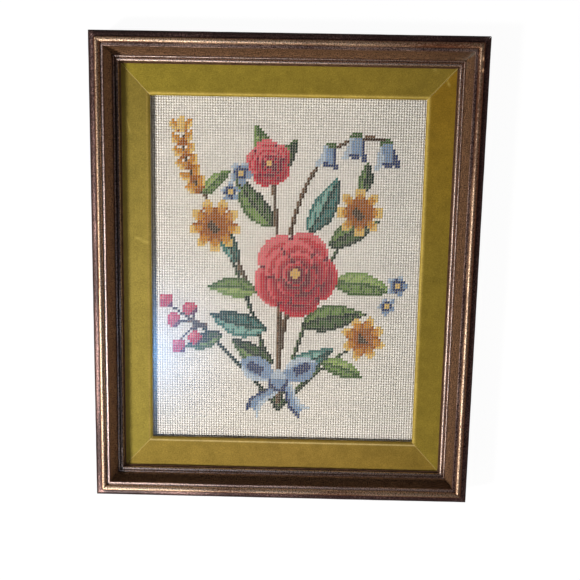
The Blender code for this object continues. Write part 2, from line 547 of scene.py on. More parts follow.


# The knocks and the wear of each rail. The long strips with no dent, each on one rail, are painted
# highlight where they add powder and painted shade where they take it away
WEAR_AND_PAINTED_LIGHT: dict[Side, tuple[Mark, ...]] = {
    Side.BOTTOM: (
        Mark(-165.0, 9.8, 40.0, 2.2, 0.0, 0.3),
        Mark(0.0, 14.0, 200.0, 1.8, 0.0, 0.3),
        Mark(-165.0, 14.0, 38.0, 1.8, 0.0, 0.35),
        Mark(0.0, 21.3, 300.0, 0.8, 0.0, -0.6),
        Mark(-60.0, 15.5, 130.0, 0.6, 0.0, -0.45),
        Mark(-145.0, 12.5, 45.0, 0.8, 0.0, 0.4),
        Mark(139.5, 9.2, 4.0, 1.2, 0.10, 0.5),
        Mark(153.7, 9.0, 3.0, 1.1, 0.12, 0.6),
        Mark(179.0, 9.1, 2.4, 1.2, 0.15, 0.6),
        Mark(185.3, 4.6, 1.6, 1.4, 0.30, 0.9),
        Mark(-184.0, 5.0, 3.0, 1.8, 0.05, 0.5),
    ),
    Side.RIGHT: (
        Mark(207.7, 9.2, 1.7, 0.6, 0.2, 0.0, 1.6),
        Mark(197.3, 9.2, 0.8, 1.1, 0.2, 0.0, 1.6),
        Mark(115.9, 21.5, 6.0, 1.3, 0.12, 0.5),
        Mark(-60.0, 9.8, 40.0, 1.6, 0.0, 0.25),
        Mark(0.0, 14.0, 250.0, 1.8, 0.0, -0.25),
        Mark(-60.0, 21.6, 120.0, 1.2, 0.0, 0.4),
        Mark(165.0, 12.2, 60.0, 1.2, 0.0, -0.35),
        Mark(10.0, 12.2, 60.0, 0.9, 0.0, 0.3),
    ),
    Side.TOP: (
        Mark(-111.3, 14.9, 4.0, 0.7, 0.10, 0.7),
        Mark(-154.1, 14.6, 2.4, 0.7, 0.10, 0.7),
        Mark(-185.5, 3.2, 2.6, 1.6, 0.20, 0.9),
        Mark(186.5, 3.0, 3.0, 2.0, 0.10, 0.6),
        Mark(0.0, 14.0, 120.0, 1.6, 0.0, -0.15),
        Mark(130.0, 9.8, 45.0, 1.8, 0.0, 0.25),
        Mark(60.0, 24.2, 110.0, 1.2, 0.0, 0.3),
        Mark(-150.0, 11.6, 50.0, 2.0, 0.0, -0.35),
        Mark(135.0, 8.9, 45.0, 1.1, 0.0, 0.3),
        Mark(130.0, 12.5, 50.0, 0.8, 0.0, -0.4),
    ),
    Side.LEFT: (
        Mark(150.0, 13.8, 45.0, 1.6, 0.0, 0.3),
        Mark(40.0, 2.8, 170.0, 1.6, 0.0, 0.45),
        Mark(20.0, 10.9, 200.0, 1.0, 0.0, 0.4),
        Mark(0.0, 23.6, 300.0, 1.5, 0.0, -0.7),
        Mark(0.0, 15.5, 300.0, 0.6, 0.0, -0.4),
    ),
}


@dataclass
class Moulding:
    """The mitred wooden moulding: outer roll, crown bead, band, deep cove, fillet and torus."""

    plan: Plan = field(default_factory=Plan)
    back_chamfer: float = 0.8 * MM
    side_top: float = 28.8 * MM
    roll: Pair = (6.5 * MM, 6.4 * MM)
    crown_inset: float = 10.0 * MM
    crown_radius: float = 2.8 * MM
    crown_top: float = 39.0 * MM
    band_outer: float = 12.95 * MM
    band_low: float = 35.57 * MM
    arris_inset: float = 15.3 * MM
    arris_radius: float = 0.65 * MM
    arris_top: float = 35.9 * MM
    cove_floor: float = 21.1 * MM
    cove_inner: float = 20.9 * MM
    fillet_radius: float = 0.7 * MM
    torus_inset: float = 24.5 * MM
    torus_radius: float = 1.9 * MM
    torus_middle: float = 20.4 * MM
    lip_inner: float = 27.9 * MM
    lip_top: float = 19.3 * MM
    lip_under: float = 18.5 * MM
    rebate_inset: float = 21.5 * MM
    quirk: float = 0.4 * MM
    # Where the band runs into the arris, in degrees from the inward direction
    band_meets: float = 98.0
    # The hand-made waves, along and across the rail, and how uneven the rub is
    hand_wave: float = 0.05 * MM
    wave_pitch: Pair = (5 * MM, 2 * MM)
    rub_swing: float = 0.16
    rub_pitch: Pair = (16 * MM, 3 * MM)
    # The roll is rubbed brighter where it meets the next rail
    mitre_rub: float = 0.25
    mitre_reach: float = 0.6 * MM
    # The filler: how much there is, how far it reaches from the mitre, and how lumpy it is
    putty_share: float = 0.75
    putty_reach: float = 2.2 * MM
    putty_lump: float = 1.5 * MM
    putty_seed: int = 71
    wave_seed: int = 40
    rub_seed: int = 50

    def outline(self) -> Outline:
        """Draw the section, up the outer side, over the face and down the rebate.

        Returns:
            The closed section.
        """
        q = self.quirk
        crown = (self.crown_inset, self.crown_top - self.crown_radius)
        arris = (self.arris_inset, self.arris_top - self.arris_radius)
        cove = (self.cove_inner, arris[1])
        cove_radii = (self.cove_inner - (arris[0] + self.arris_radius), arris[1] - self.cove_floor)
        fillet = (self.cove_inner + self.fillet_radius, self.cove_floor)
        fillet_end = fillet[0] + self.fillet_radius + q / 2
        torus = (self.torus_inset, self.torus_middle)
        turn = math.radians(self.band_meets)
        band_end = (
            arris[0] + self.arris_radius * math.cos(turn),
            arris[1] + self.arris_radius * math.sin(turn),
        )
        band = np.linspace((self.band_outer, self.band_low), band_end, 7)[:-1]
        out = Outline()
        out.line(Zone.BACK, (self.back_chamfer, 0.0))
        out.line(Zone.SIDE, (0.0, self.back_chamfer), (0.0, self.side_top / 2))
        out.arc(Zone.ROLL, (self.roll[0], self.side_top), self.roll, (180, 84), 16)
        out.arc(Zone.FLANK, crown, self.crown_radius, (204, 128), 10)
        out.arc(Zone.CROWN, crown, self.crown_radius, (120.4, -24), 19)
        out.line(Zone.QUIRK, (self.band_outer - q, self.band_low - 2.5 * q))
        out.line(Zone.BAND, *map(tuple, band.tolist()))
        out.arc(Zone.ARRIS, arris, self.arris_radius, (self.band_meets, 0), 8)
        out.arc(Zone.COVE, cove, cove_radii, (184, 264), 18)
        out.arc(Zone.FILLET, fillet, self.fillet_radius, (165, 15), 8)
        out.line(Zone.QUIRK, (fillet_end, self.cove_floor - q))
        out.arc(Zone.TORUS, torus, self.torus_radius, (155, -20), 20)
        out.line(
            Zone.LIP,
            (self.torus_inset + self.torus_radius, self.lip_top),
            (self.lip_inner - q, self.lip_top - q / 2),
            (self.lip_inner, self.lip_under + q / 2),
            (self.lip_inner - q / 2, self.lip_under),
            (self.rebate_inset, self.lip_under),
        )
        out.line(Zone.BACK, (self.rebate_inset, self.back_chamfer))
        out.line(Zone.BACK, (self.rebate_inset - self.back_chamfer, 0.0))
        return out

    def rail(self, side: Side) -> Surface:
        """Build one rail, with its hand-worn relief and its finish painted on as numbers.

        The relief is a slight wave along the rail, less a bell-shaped dent at each mark. The
        rub is the zone's own, more towards the mitres, more or less at the marks, and uneven in
        between. Marks with no dent are painted highlight or painted shade on that rail alone.

        Args:
            side: The rail.

        Returns:
            The rail's closed surface.
        """
        drawn = self.outline()
        outline = np.array(drawn.points)
        looks = [ZONE_LOOKS[zone] for zone in drawn.zones]
        along = self.plan.stations(side, outline[:, 0])
        inset = np.broadcast_to(outline[:, 0], along.shape)
        shown = 1 - drawn.within(Zone.BACK)
        run, rise = self.wave_pitch
        wave = ripple(along / run, inset / rise, self.wave_seed + side.value)
        relief = self.hand_wave * wave * shown
        rub_and_painted_light = np.broadcast_to([look.rub_and_painted_light for look in looks], along.shape).copy()
        run, rise = self.rub_pitch
        patches = ripple(along / run, inset / rise, self.rub_seed + side.value)
        rub_and_painted_light += self.rub_swing * (rub_and_painted_light > 0) * patches
        from_mitre = (self.plan.half_run(side) - inset - np.abs(along)) / math.sqrt(2)
        at_mitre = np.exp(-((from_mitre / self.mitre_reach) ** 2))
        rub_and_painted_light += self.mitre_rub * drawn.within(Zone.ROLL) * at_mitre
        bare = np.zeros(along.shape)
        # Marks with no dent only raise or lower the rub: painted highlight and painted shade on one rail
        for mark in WEAR_AND_PAINTED_LIGHT[side]:
            away = ((along - mark.along * MM) / (mark.length * MM)) ** 2
            away = away + ((inset - mark.inset * MM) / (mark.breadth * MM)) ** 2
            spot = np.exp(-away) * shown
            relief = relief - mark.depth * MM * spot
            rub_and_painted_light += (mark.rub_and_painted_light - mark.bare) * spot
            bare += mark.bare * spot
        stain, powder = (
            np.array([linear(getattr(look, key)) for look in looks]) for key in ("stain", "powder")
        )
        stain = (np.roll(stain, 1, 0) + 2 * stain + np.roll(stain, -1, 0)) / 4
        values = {
            "stain": np.broadcast_to(stain, (*along.shape, 4)),
            "powder": np.broadcast_to(powder, (*along.shape, 4)),
            "rub_and_painted_light": rub_and_painted_light,
            "stipple": np.broadcast_to([look.stipple for look in looks], along.shape),
            "gloss": np.broadcast_to([look.gloss for look in looks], along.shape),
            "putty": self.putty(side, drawn, along, from_mitre),
            "bare": bare.clip(0, 1),
        }
        surface = self.plan.bar(side, outline, outline[:, 0], relief)
        surface.values = {key: value.reshape(-1, *value.shape[2:]) for key, value in values.items()}
        return surface

    def putty(self, side: Side, drawn: Outline, along: Array, from_mitre: Array) -> Array:
        """Spread the pale filler that was wiped into the mitre of the cove at the top right.

        Args:
            side: The rail.
            drawn: The section.
            along: Distance along the rail of each point.
            from_mitre: Distance of each point from the mitre.

        Returns:
            How much filler each point has, from 0 to 1.
        """
        at_corner = {Side.TOP: along < 0, Side.RIGHT: along > 0}.get(side)
        if at_corner is None:
            return np.zeros(along.shape)
        hollow = drawn.within(Zone.COVE, Zone.QUIRK, Zone.ARRIS)
        lumps = ripple(along / self.putty_lump, from_mitre / self.putty_lump, self.putty_seed)
        fade = np.exp(-from_mitre / self.putty_reach)
        return self.putty_share * at_corner * hollow * (0.5 + 0.5 * lumps) * fade

    def build(self) -> None:
        """Build the four rails and dress them."""
        finish = AntiquedWalnut().material()
        for side in Side:
            node = f"rail_{side.word}"
            add_piece(f"moulding_{side.word}", self.rail(side), finish, (node,), sharp=42)


@dataclass(frozen=True)
class OliveVelvet(Finish):
    """Short-pile cotton velvet, woven and dyed olive gold, glued round the liner.

    It is dull face on and glows at a grazing angle. Each strip has its own tone, painted sheen of
    the pile leaning one way, with cloudy patches and a fine speckle of single tufts.
    """

    name = "cotton_velvet_olive"
    edge: str = "D8BF72"
    crushed: str = "C6B25C"
    sheen: str = "E8D488"
    # Real tufts are 0.3 mm apart, finer than the render shows, so they are drawn at 1 mm
    pile: float = 1.0
    cloud: float = 16.0

    def shade(self, add: Adder) -> Node:
        """Build the cloth from the strip's own nap tone, which is painted sheen.

        Args:
            add: Adds a node to the material.

        Returns:
            The shader.
        """
        place = add("TexCoord").outputs["Object"]
        # The strip's nap tone is painted sheen
        nap_sheen_tone = add("Attribute", attribute_name="nap_sheen_tone")
        crush, seam = (add("Attribute", attribute_name=key).outputs["Fac"] for key in ("crush", "seam"))
        noises = []
        for pitch, detail, roughness in ((self.pile, 2.0, 0.6), (self.cloud, 4.0, 0.62)):
            look = {"Scale": 1 / (pitch * MM), "Detail": detail, "Roughness": roughness}
            noises.append(add("TexNoise", {"Vector": place, **look}))
        tufts, clouds = noises
        speckle = add("MapRange", {0: tufts, 1: 0.28, 2: 0.72, 3: 0.74, 4: 1.26})
        patches = add("MapRange", {0: clouds, 1: 0.3, 2: 0.7, 3: 0.87, 4: 1.13})
        tone = add("Math", {0: speckle, 1: patches}, operation="MULTIPLY")
        cloth = add("Mix", {0: 1.0, 6: nap_sheen_tone, 7: tone}, data_type="RGBA", blend_type="MULTIPLY")
        cloth = add("Mix", {0: crush, 6: cloth, 7: linear(self.crushed)}, data_type="RGBA")
        cloth = add("Mix", {0: seam, 6: cloth, 7: linear(self.edge)}, data_type="RGBA")
        bump = add("Bump", {"Height": tufts, "Strength": 0.4, "Distance": 0.3 * MM})
        glow = {"Sheen Weight": 0.35, "Sheen Roughness": 0.35, "Sheen Tint": linear(self.sheen)}
        dull = {"Roughness": 0.95, "Specular IOR Level": 0.1}
        return add("BsdfPrincipled", {"Base Color": cloth, "Normal": bump, **dull, **glow})


@dataclass(frozen=True)
class Crush:
    """A stroke where the pile was pushed over: two ends, as x and y on the frame, and a half width."""

    start: Pair
    end: Pair
    breadth: float
    strength: float


@dataclass
class VelvetLiner:
    """The velvet-covered strip, sloping down from under the moulding's lip to the picture."""

    plan: Plan = field(default_factory=Plan)
    outer_inset: float = 22.1 * MM
    base: float = 10.3 * MM
    edge_radius: float = 1.2 * MM
    shoulder: float = 24.0 * MM
    top: float = 17.8 * MM
    sight_inset: float = 55.0 * MM
    nose: Pair = (3.2 * MM, 2.7 * MM)
    nose_top: float = 13.7 * MM
    quirk: float = 0.4 * MM
    seam_width: float = 0.3 * MM
    edge_steps: int = 5
    face_steps: int = 22
    # Where the face runs into the nose, in degrees from the inward direction
    nose_lip: float = 82.0
    # How bright the cut edge is: at the top and bottom, and on the left and right
    seam_bright: Pair = (1.0, 0.25)
    swell: float = 0.12 * MM
    swell_pitch: Pair = (9 * MM, 7 * MM)
    crush_depth: float = 0.25 * MM
    seed: int = 60

    # The nap tones are painted sheen: how the leaning pile catches the light on each strip, set into the
    # colour
    nap_sheen_tones: dict[Side, tuple[str, str, str]] = field(
        default_factory=lambda: {
            Side.TOP: ("806C29", "7D6D27", "83752A"),
            Side.LEFT: ("7B6B2D", "94843F", "8E8037"),
            Side.BOTTOM: ("887532", "8B7233", "826B2A"),
            Side.RIGHT: ("816F29", "786725", "836419"),
        }
    )
    # The fold's colour, worn pile with a painted highlight, how far round the nose it lies, and its reach
    fold_wear_and_highlight: dict[Side, tuple[str, float, float]] = field(
        default_factory=lambda: {
            Side.TOP: ("B39B4C", 2.4 * MM, 1.0 * MM),
            Side.LEFT: ("9A8244", 1.0 * MM, 0.5 * MM),
            Side.BOTTOM: ("CDB77C", 1.1 * MM, 0.6 * MM),
            Side.RIGHT: ("B0984A", 2.6 * MM, 1.5 * MM),
        }
    )
    crushes: tuple[Crush, ...] = (
        Crush((-150.0 * MM, 34.0 * MM), (-139.0 * MM, 29.5 * MM), 1.0 * MM, 0.5),
        Crush((-157.5 * MM, 150.0 * MM), (-155.0 * MM, 138.0 * MM), 0.9 * MM, 0.35),
        Crush((139.0 * MM, 203.5 * MM), (144.0 * MM, 198.0 * MM), 0.5 * MM, 0.5),
        Crush((153.0 * MM, 193.0 * MM), (155.5 * MM, 187.0 * MM), 0.6 * MM, 0.5),
    )

    def outline(self, side: Side) -> Array:
        """Draw the section: square back, small round shoulder, sloping face and soft nose.

        It is drawn for the mean sight inset, and then stretched sideways to the strip's own.

        Args:
            side: The strip.

        Returns:
            Points as inset and height.
        """
        out = Outline()
        out.line(Zone.BACK, (self.outer_inset, self.base))
        edge = (self.outer_inset + self.edge_radius, self.top - self.edge_radius)
        out.arc(Zone.BACK, edge, self.edge_radius, (180, 90), self.edge_steps)
        nose = (self.sight_inset - self.nose[0], self.nose_top - self.nose[1])
        lip = np.radians(self.nose_lip)
        first = (nose[0] + self.nose[0] * math.cos(lip), nose[1] + self.nose[1] * math.sin(lip))
        share = np.linspace(0, 1, self.face_steps + 1)[:-1]
        inset = self.shoulder + share * (first[0] - self.shoulder)
        height = self.top + share * (first[1] - self.top)
        out.line(Zone.BAND, *zip(inset.tolist(), height.tolist()))
        out.arc(Zone.BAND, nose, self.nose, (self.nose_lip, 0), 14)
        out.line(Zone.LIP, (self.sight_inset, self.base + self.quirk))
        out.line(Zone.LIP, (self.sight_inset - self.quirk, self.base))
        drawn = np.array(out.points)
        sight = self.plan.sight_ends if side.value % 2 == 0 else self.plan.sight_sides
        stretch = (sight - self.outer_inset) / (self.sight_inset - self.outer_inset)
        drawn[:, 0] = self.outer_inset + (drawn[:, 0] - self.outer_inset) * stretch
        return drawn

    def strip(self, side: Side) -> Surface:
        """Build one strip, with its nap, crush marks and cut edge painted on as numbers.

        The nap tone, painted sheen of the leaning pile, runs through three tones from one end of the
        strip to the other. The fold's colour is worn pile with a painted highlight, widest round the
        nose on the top and right strips. The cut edge is a bell curve of the distance from the mitre,
        and a crush mark one of the distance from its stroke.

        Args:
            side: The strip.

        Returns:
            The strip's closed surface.
        """
        outline = self.outline(side)
        met = self.outline(Side((side.value + 1) % 4))[:, 0]
        along = self.plan.stations(side, met)
        inset = np.broadcast_to(outline[:, 0], along.shape)
        half = self.plan.half_run(side)
        # The nap tones carry painted sheen, graded from one end of the strip to the other
        tones = np.array([linear(tone) for tone in self.nap_sheen_tones[side]])
        share = (along / half + 1).clip(0, 2)
        nap_sheen_tone = np.stack([np.interp(share, (0, 1, 2), tones[:, k]) for k in range(4)], -1)
        # The fold colour is worn pile and painted highlight, widest on the top and right strips
        fold_highlight_colour, middle, reach = self.fold_wear_and_highlight[side]
        steps = np.linalg.norm(np.diff(outline, axis=0, prepend=outline[:1]), axis=1)
        last_flat = self.edge_steps + self.face_steps + 1
        round_nose = np.cumsum(steps) - np.cumsum(steps)[last_flat]
        fold_highlight_share = np.exp(-(((round_nose - middle) / reach) ** 2))[:, None]
        nap_sheen_tone = nap_sheen_tone + fold_highlight_share * (linear(fold_highlight_colour) - nap_sheen_tone)
        from_mitre = (half - met - np.abs(along)) / math.sqrt(2)
        seam = self.seam_bright[side.value % 2] * np.exp(-((from_mitre / self.seam_width) ** 2))
        flat = self.plan.place(side, np.stack([along, inset, inset], -1))[..., :2]
        crush = np.zeros(along.shape)
        for mark in self.crushes:
            start, way = np.array(mark.start), np.array(mark.end) - np.array(mark.start)
            step = ((flat - start) @ way / (way @ way)).clip(0, 1)
            away = np.linalg.norm(flat - start - step[..., None] * way, axis=-1)
            crush = np.maximum(crush, mark.strength * np.exp(-((away / mark.breadth) ** 2)))
        run, rise = self.swell_pitch
        swell = self.swell * ripple(along / run, inset / rise, self.seed + side.value)
        shown = (outline[:, 0] > self.shoulder) & (outline[:, 1] > self.base + 2 * self.quirk)
        surface = self.plan.bar(side, outline, met, (swell - self.crush_depth * crush) * shown)
        surface.values = {"nap_sheen_tone": nap_sheen_tone.reshape(-1, 4), "seam": seam.ravel(), "crush": crush.ravel()}
        return surface

    def build(self) -> None:
        """Build the four strips and dress them."""
        finish = OliveVelvet().material()
        for side in Side:
            node = f"liner_{side.word}"
            add_piece(f"velvet_{side.word}", self.strip(side), finish, (node,), sharp=50)


class Wool(Enum):
    """The shades of tapestry wool in the work, as sRGB hex."""

    CREAM = "F3EFE7"
    BOTTLE = "22382F"
    MOSS = "4A6A3C"
    FERN = "7F9F58"
    LIME = "A9BF74"
    TEAL_DEEP = "1E4745"
    TEAL = "44807A"
    TEAL_PALE = "8FBFB2"
    MAROON = "6A1838"
    CRIMSON = "A92040"
    RED = "CF3346"
    ROSE = "E8747A"
    RUST = "A8601C"
    GOLD = "D3922F"
    STRAW = "EBC978"
    BARK = "4C3A2C"
    NUT = "7C6048"
    INDIGO = "3A4A72"
    SKY = "8CA6C4"
    MIST = "C4D2DE"

    @property
    def number(self) -> int:
        """The shade's place in the list of shades."""
        return list(Wool).index(self)


class Skein(Enum):
    """Sets of shades that are used together, from dark to light."""

    GREEN = (Wool.BOTTLE, Wool.MOSS, Wool.FERN)
    SPRING = (Wool.MOSS, Wool.FERN, Wool.LIME)
    SEA = (Wool.TEAL_DEEP, Wool.TEAL, Wool.TEAL_PALE)
    GARNET = (Wool.MAROON, Wool.CRIMSON, Wool.RED, Wool.ROSE)
    AMBER = (Wool.RUST, Wool.GOLD, Wool.STRAW)
    BLUE = (Wool.INDIGO, Wool.SKY, Wool.MIST)
    TWIG = (Wool.BARK, Wool.NUT)
    STALK = (Wool.BOTTLE, Wool.MOSS)


@dataclass
class GardenSpray:
    """The stitch chart: an upright bunch of garden flowers, worked out from simple shapes.

    Each motif is a test on every stitch's place at once, counted in stitches from the lower
    left corner of the opening. Later motifs are worked over earlier ones.
    """

    columns: int = 106
    rows: int = 132
    margin: int = 4
    foot: Pair = (51.0, 12.0)
    stem_points: int = 160
    x: Array = field(init=False)
    y: Array = field(init=False)
    cells: Array = field(init=False)

    def __post_init__(self) -> None:
        """Lay out the stitches, all in the ground shade."""
        across = np.arange(-self.margin, self.columns + self.margin) + 0.5
        up = np.arange(-self.margin, self.rows + self.margin) + 0.5
        self.x, self.y = np.meshgrid(across, up)
        self.cells = np.full(self.x.shape, Wool.CREAM.number)

    def work(self, inside: Array, shade: Wool | Array) -> None:
        """Work a shade, or a number for each stitch, over the stitches inside a shape."""
        self.cells = np.where(inside, shade.number if isinstance(shade, Wool) else shade, self.cells)

    def local(self, x: float, y: float, turn: float) -> tuple[Array, Array]:
        """Measure every stitch along and across a motif.

        Args:
            x: Where the motif starts, across.
            y: Where it starts, up.
            turn: The way it points, in degrees anticlockwise from the right.

        Returns:
            The distance along the motif, and the distance to its left.
        """
        angle = math.radians(turn)
        dx, dy = self.x - x, self.y - y
        along = dx * math.cos(angle) + dy * math.sin(angle)
        return along, dy * math.cos(angle) - dx * math.sin(angle)

    def polar(self, x: float, y: float) -> tuple[Array, Array]:
        """Give every stitch's distance and direction from x and y."""
        dx, dy = self.x - x, self.y - y
        return np.hypot(dx, dy), np.arctan2(dy, dx)

    @staticmethod
    def curve(knots: list[Pair], steps: int) -> tuple[Array, Array]:
        """Follow a quadratic curve through its start, control point and end.

        A point at t is (1 - t) squared times the first knot, plus 2t(1 - t) times the second,
        plus t squared times the third.

        Args:
            knots: Start, control point and end.
            steps: How many points are wanted.

        Returns:
            The points, and how the curve runs at each.
        """
        t = np.linspace(0, 1, steps)[:, None]
        a, b, c = np.array(knots, float)
        points = (1 - t) ** 2 * a + 2 * t * (1 - t) * b + t**2 * c
        return points, 2 * (1 - t) * (b - a) + 2 * t * (c - b)

    def stem(self, knots: list[Pair], breadth: float, skein: Skein) -> None:
        """Work a curved stem, tapering, with its upper left side lighter.

        Args:
            knots: Start, control point and end.
            breadth: Its breadth at the start, in stitches.
            skein: A dark and a light shade.
        """
        curve, _ = self.curve(knots, self.stem_points)
        half = np.linspace(0.5, 0.3, len(curve)) * breadth
        dx = self.x[..., None] - curve[:, 0]
        dy = self.y[..., None] - curve[:, 1]
        nearest = np.hypot(dx, dy).argmin(-1)[..., None]
        away = np.take_along_axis(np.hypot(dx, dy), nearest, -1)[..., 0]
        lit = np.take_along_axis(dy - dx, nearest, -1)[..., 0] > 0.15 * breadth
        inside = away < half[nearest[..., 0]]
        dark, light = skein.value
        self.work(inside, dark)
        self.work(inside & lit, light)

    def leaf(self, x: float, y: float, turn: float, length: float, skein: Skein, bend: float) -> None:
        """Work a pointed leaf: a midrib, side veins, and one half lighter than the other.

        Its half breadth at share s of its length is a sine of s, fullest a little before the
        middle, and its midrib bends sideways by another sine of s.

        Args:
            x: Where its stalk is, across.
            y: Where its stalk is, up.
            turn: The way it points, in degrees.
            length: Its length, in stitches.
            skein: Dark, middle and light shades.
            bend: How far it bends, as a share of its breadth.
        """
        dark, mid, light = skein.value
        along, side = self.local(x, y, turn)
        share = (along / length).clip(0, 1)
        breadth = 0.4 * length
        side = side - bend * breadth * np.sin(np.pi * share)
        half = breadth / 2 * np.sin(np.pi * share**0.82) ** 0.85
        off = np.abs(side)
        inside = (along > 0) & (along < length) & (off < half)
        upper = side > 0
        rim = off > half - 1.25
        vein = (np.mod(along - 0.9 * off, 5.0) < 1.0) & (off < 0.75 * half)
        self.work(inside, mid)
        self.work(inside & upper & ~rim, light)
        self.work(inside & ~upper & rim, dark)
        self.work(inside & vein & upper, mid)
        self.work(inside & vein & ~upper, dark)
        self.work(inside & (off < 0.62) & (along < 0.9 * length), dark)

    def rose(self, x: float, y: float, radius: float, turn: float) -> None:
        """Work a full rose: rings of lobed petals, dark at the foot and light at the lip.

        A ring's edge is its radius, less a fifth of it between the lobes. A stitch's shade
        goes by how near it lies to that edge, and is lighter on the upper left.

        Args:
            x: Its middle, across.
            y: Its middle, up.
            radius: Its radius, in stitches.
            turn: How far its petals are turned, in degrees.
        """
        deep, dark, mid, light = (shade.number for shade in Skein.GARNET.value)
        away, angle = self.polar(x, y)
        lit = 0.12 * np.cos(angle - math.radians(125))
        for share, petals, phase in ((1.0, 5, 0.0), (0.76, 5, 0.9), (0.52, 4, 0.3), (0.29, 3, 1.1)):
            lobe = np.abs(np.cos(petals * (angle + math.radians(turn) + phase) / 2)) ** 0.45
            depth = away / (radius * share * (0.8 + 0.2 * lobe))
            edge = depth + lit
            shade = np.select([edge > 0.93, edge > 0.8, edge > 0.66], [light, mid, dark], deep)
            shade = np.where((lobe < 0.38) & (depth > 0.55), deep, shade)
            self.work(depth < 1, shade)
        self.work(away < 0.1 * radius, Wool.STRAW)

    def daisy(self, x: float, y: float, radius: float, petals: int, turn: float) -> None:
        """Work a daisy: separate petals, darker towards the middle, round a brown eye.

        Args:
            x: Its middle, across.
            y: Its middle, up.
            radius: Its radius, in stitches.
            petals: How many petals it has.
            turn: How far they are turned, in degrees.
        """
        dark, mid, light = (shade.number for shade in Skein.AMBER.value)
        dx, dy = self.x - x, self.y - y
        away, angle = self.polar(x, y)
        lobe = np.abs(np.cos(petals * (angle + math.radians(turn)) / 2))
        depth = away / (radius * (0.45 + 0.55 * lobe**0.6))
        shade = np.select([lobe < 0.5, depth > 0.78, depth > 0.5], [dark, light, mid], dark)
        self.work(depth < 1, shade)
        self.work(away < 0.27 * radius, Wool.BARK)
        self.work((away < 0.27 * radius) & (dx + dy > 0.4), Wool.RUST)

    def bell(self, x: float, y: float, lean: float, size: float) -> None:
        """Work a hanging bell: a small cap, a flaring body and a rim of three points.

        Args:
            x: Where it hangs from, across.
            y: Where it hangs from, up.
            lean: How far it leans from straight down, in degrees.
            size: Its length, in stitches.
        """
        along, side = self.local(x, y, lean - 90)
        along, side = along / size, side / size
        half = 0.17 + 0.2 * along.clip(0, 1) ** 0.6 + 0.17 * along.clip(0, 1) ** 4
        rim = 0.86 + 0.14 * np.abs(np.cos(1.5 * np.pi * side / 0.54))
        inside = (along > 0) & (along < rim) & (np.abs(side) < half)
        self.work(inside, Wool.SKY)
        self.work(inside & (side < -0.12), Wool.MIST)
        self.work(inside & (side > 0.2), Wool.INDIGO)
        self.work(inside & (along > 0.8) & (np.abs(side) < 0.2), Wool.INDIGO)
        self.work(inside & (along < 0.17), Wool.MOSS)

    def berry(self, x: float, y: float, radius: float) -> None:
        """Work a round berry with a lit side and a dark one, at x and y in stitches."""
        dx, dy = self.x - x, self.y - y
        inside = np.hypot(dx, dy) < radius
        self.work(inside, Wool.RED)
        self.work(inside & (dx - dy > 0.7 * radius), Wool.MAROON)
        self.work(np.hypot(dx + 0.35 * radius, dy - 0.35 * radius) < 0.35 * radius, Wool.ROSE)

    def ear(self, knots: list[Pair], grains: int, size: float) -> None:
        """Work an ear of corn: pairs of grains up a curved stalk, each pair leaning outwards.

        Args:
            knots: Start, control point and end of the stalk.
            grains: How many pairs it has.
            size: A grain's length, in stitches.
        """
        dark, mid, light = Skein.AMBER.value
        self.stem(knots, 1.5, Skein.TWIG)
        for (x, y), (run, rise) in zip(*self.curve(knots, grains)):
            lean = math.degrees(math.atan2(rise, run))
            for hand in (-1, 1):
                along, side = self.local(x, y, lean + 42 * hand)
                inside = (2 * along / size - 1) ** 2 + (side / (0.27 * size)) ** 2 < 1
                self.work(inside, mid)
                self.work(inside & (side * hand > 0.06 * size), light)
                self.work(inside & (along < 0.3 * size), dark)
        along, side = self.local(*knots[-1], lean)
        self.work((2 * along / size - 1) ** 2 + (side / (0.27 * size)) ** 2 < 1, light)

    def speedwell(self, x: float, y: float, radius: float, turn: float) -> None:
        """Work a small blue flower of five round petals.

        Args:
            x: Its middle, across.
            y: Its middle, up.
            radius: Its radius, in stitches.
            turn: How far its petals are turned, in degrees.
        """
        dx, dy = self.x - x, self.y - y
        away, angle = self.polar(x, y)
        lobe = np.abs(np.cos(2.5 * (angle + math.radians(turn))))
        inside = away < radius * (0.5 + 0.5 * lobe**0.7)
        self.work(inside, Wool.SKY)
        self.work(inside & (away > 0.72 * radius) & (dy > dx), Wool.MIST)
        self.work(inside & ((lobe < 0.45) | (away < 0.5 * radius)), Wool.INDIGO)
        self.work(away < 0.27 * radius, Wool.STRAW)

    def bow(self, x: float, y: float, size: float) -> None:
        """Work a ribbon bow: two tails, two open loops and a knot.

        A tail is a band that widens and waves. A loop's half breadth at share s of its length
        is a sine of s, and what shows through it is dark.

        Args:
            x: The knot, across.
            y: The knot, up.
            size: A loop's length, in stitches.
        """
        dark, mid, light = Skein.BLUE.value
        for turn in (-52, -128):
            along, side = self.local(x, y, turn)
            wave = side - 0.07 * size * np.sin(2.0 * np.pi * along / size)
            notch = 1.05 * size - 0.9 * np.abs(0.16 * size - np.abs(wave))
            inside = (along > 0) & (along < notch) & (np.abs(wave) < 0.09 * size + 0.09 * along)
            self.work(inside, mid)
            self.work(inside & (wave > 0.04 * size + 0.03 * along), light)
            self.work(inside & (wave < -0.05 * size - 0.04 * along), dark)
        for turn in (24, 156):
            along, side = self.local(x, y, turn)
            share = (along / size).clip(0, 1)
            half = 0.3 * size * np.sin(np.pi * share**1.25) ** 0.8
            inside = (along > 0) & (along < size) & (np.abs(side) < half)
            self.work(inside, mid)
            self.work(inside & (side > 0.55 * half), light)
            hole = (share > 0.42) & (share < 0.82) & (np.abs(side) < 0.38 * half)
            self.work(hole, dark)
        knot = np.hypot(self.x - x, 0.8 * (self.y - y))
        self.work(knot < 0.18 * size, mid)
        self.work((knot < 0.18 * size) & (self.y - y > 0.3), light)
        self.work((knot < 0.24 * size) & (knot > 0.18 * size) & (self.y < y), dark)

